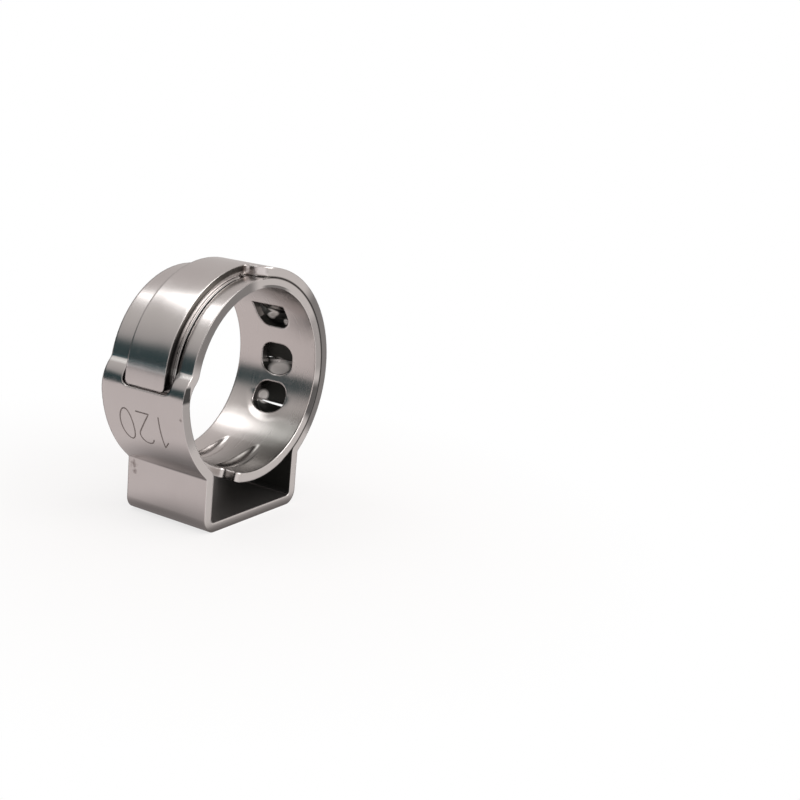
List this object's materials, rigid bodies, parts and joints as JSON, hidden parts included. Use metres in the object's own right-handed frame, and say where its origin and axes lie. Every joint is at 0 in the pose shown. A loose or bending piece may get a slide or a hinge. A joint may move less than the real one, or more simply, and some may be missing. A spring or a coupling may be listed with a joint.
{
  "type": "ear hose clamp",
  "caption": "Ear hose clamp bent from one stainless strip: open ring of two overlapping layers with a square crimp ear, lanced hooks and a tongue that covers the slot.",
  "frame": {"origin": "middle of the hose bore, halfway across the width of the strip", "axes": "+Y along the bore, from the strip edge that the picture shows nearer to the far one; -Z towards the crimp ear; +X towards the side with the hooks"},
  "size_m": [0.0148, 0.0066, 0.0163],
  "materials": {
    "stainless_strip": "satin"
  },
  "bodies": {
    "root": {"clamp_band": "stainless_strip"}
  },
  "joints": []
}
